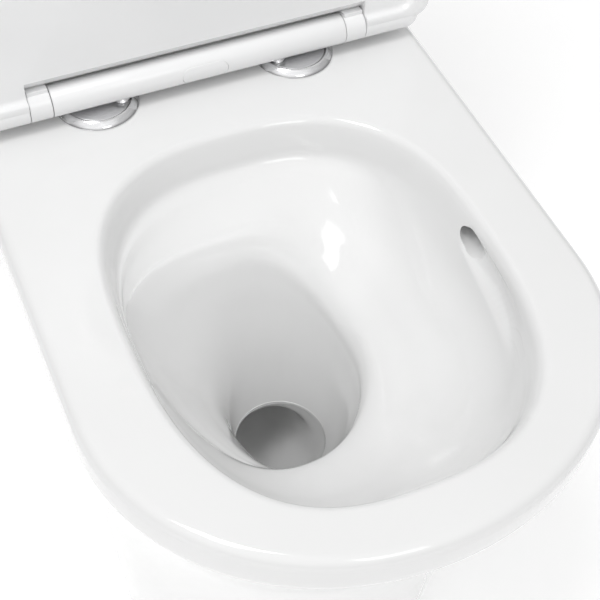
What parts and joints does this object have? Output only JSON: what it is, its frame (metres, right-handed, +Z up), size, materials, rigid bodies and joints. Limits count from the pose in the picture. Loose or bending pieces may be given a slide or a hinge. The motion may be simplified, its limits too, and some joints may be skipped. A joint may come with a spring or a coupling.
{
  "type": "close coupled toilet",
  "caption": "Close coupled toilet: skirted rimless pan with a swirl bowl, quick release soft close seat and lid standing up, and a dual flush cistern.",
  "frame": {"origin": "on the floor, under the middle of the object's width and depth", "axes": "+Z up, -Y towards the front of the bowl, +Y towards the wall, +X to the right seen from the front"},
  "size_m": [0.366, 0.64, 0.827],
  "materials": {
    "china": "white vitreous china glaze, glossy",
    "seat_white": "white moulded thermoset, glossy",
    "white_plastic": "white moulded plastic",
    "grey_plastic": "grey moulded plastic",
    "blue_plastic": "blue moulded plastic",
    "polished_steel": "polished",
    "satin_steel": "brushed, dark",
    "brass": "plain",
    "rubber": "black, matt",
    "clear_rubber": "translucent white, soft",
    "foam": "closed cell foam, matt"
  },
  "bodies": {
    "root": {"bolt_washer_left": "rubber", "bolt_washer_right": "rubber", "bush_nut_left": "brass", "bush_nut_right": "brass", "cistern": "china", "coupling_bolt_left": "brass", "coupling_bolt_right": "brass", "coupling_gasket": "foam", "expanding_bush_left": "rubber", "expanding_bush_right": "rubber", "fill_backnut": "white_plastic", "fill_gasket": "rubber", "fill_valve_cap": "blue_plastic", "fill_valve_stem": "white_plastic", "fixing_bolt_left": "polished_steel", "fixing_bolt_right": "polished_steel", "fixing_plate_left": "satin_steel", "fixing_plate_right": "satin_steel", "fixing_ring_left": "polished_steel", "fixing_ring_right": "polished_steel", "floor_bracket_left": "grey_plastic", "floor_bracket_right": "grey_plastic", "floor_screw_left": "polished_steel", "floor_screw_right": "polished_steel", "flush_valve_base": "white_plastic", "hinge_post_left": "polished_steel", "hinge_post_right": "polished_steel", "pan": "china", "side_screw_left": "white_plastic", "side_screw_right": "white_plastic", "valve_backnut": "white_plastic", "valve_cage": "blue_plastic", "valve_gasket": "rubber", "wing_nut_left": "white_plastic", "wing_nut_right": "white_plastic"},
    "hinge_bar": {"hinge_bar": "seat_white", "release_spring": "polished_steel", "damper_left": "grey_plastic", "damper_right": "grey_plastic"},
    "release_button": {"release_button": "seat_white"},
    "latch_left": {"latch_left": "grey_plastic"},
    "latch_right": {"latch_right": "grey_plastic"},
    "lid": {"lid": "seat_white", "lid_buffer_left": "clear_rubber", "lid_buffer_right": "clear_rubber"},
    "seat": {"seat_ring": "seat_white", "seat_buffer_front_left": "clear_rubber", "seat_buffer_front_right": "clear_rubber", "seat_buffer_rear_left": "clear_rubber", "seat_buffer_rear_right": "clear_rubber"},
    "cistern_lid": {"cistern_lid": "china", "button_bezel": "polished_steel", "bezel_nut": "white_plastic"},
    "full_flush_button": {"full_flush_button": "polished_steel"},
    "half_flush_button": {"half_flush_button": "polished_steel"},
    "overflow_tube": {"overflow_tube": "white_plastic", "flush_seal": "rubber"},
    "float_cup": {"float_cup": "blue_plastic"},
    "float_lever": {"float_lever": "white_plastic"}
  },
  "joints": [
    {"name": "hinge_bar_lift", "type": "slide", "parent": "root", "child": "hinge_bar", "axis": [0, 0, 1], "range_m": [0, 0.03]},
    {"name": "lid_hinge", "type": "hinge", "parent": "hinge_bar", "child": "lid", "pos_m": [0, 0.0852, 0.4234], "axis": [1, 0, 0], "range_deg": [0, 95]},
    {"name": "seat_hinge", "type": "hinge", "parent": "lid", "child": "seat", "pos_m": [0, 0.0852, 0.4234], "axis": [-1, 0, 0], "range_deg": [-95, 0]},
    {"name": "release_press", "type": "slide", "parent": "hinge_bar", "child": "release_button", "axis": [0, 1, 0], "range_m": [0, 0.0025], "stiffness_N_per_m": 900},
    {"name": "latch_left_slide", "type": "slide", "parent": "hinge_bar", "child": "latch_left", "axis": [1, 0, 0], "range_m": [0, 0.003]},
    {"name": "latch_right_slide", "type": "slide", "parent": "hinge_bar", "child": "latch_right", "axis": [-1, 0, 0], "range_m": [0, 0.003]},
    {"name": "cistern_lid_lift", "type": "slide", "parent": "root", "child": "cistern_lid", "axis": [0, 0, 1], "range_m": [0, 0.12]},
    {"name": "full_flush_press", "type": "slide", "parent": "cistern_lid", "child": "full_flush_button", "axis": [0, 0, -1], "range_m": [0, 0.005], "stiffness_N_per_m": 700, "springref_m": -0.002},
    {"name": "half_flush_press", "type": "slide", "parent": "cistern_lid", "child": "half_flush_button", "axis": [0, 0, -1], "range_m": [0, 0.005], "stiffness_N_per_m": 700, "springref_m": -0.002},
    {"name": "overflow_tube_lift", "type": "slide", "parent": "root", "child": "overflow_tube", "axis": [0, 0, 1], "range_m": [0, 0.015]},
    {"name": "float_rise", "type": "slide", "parent": "root", "child": "float_cup", "axis": [0, 0, 1], "range_m": [0, 0.09]},
    {"name": "float_lever_turn", "type": "hinge", "parent": "root", "child": "float_lever", "pos_m": [-0.1, 0.238, 0.7], "axis": [0, -1, 0], "range_deg": [0, 15]}
  ],
  "couplings": [
    {"joint": "latch_left_slide", "follows": "release_press", "ratio": 1.2},
    {"joint": "latch_right_slide", "follows": "release_press", "ratio": 1.2},
    {"joint": "overflow_tube_lift", "follows": "full_flush_press", "ratio": 3},
    {"joint": "float_lever_turn", "follows": "float_rise", "rad_per_m": 2.9}
  ]
}
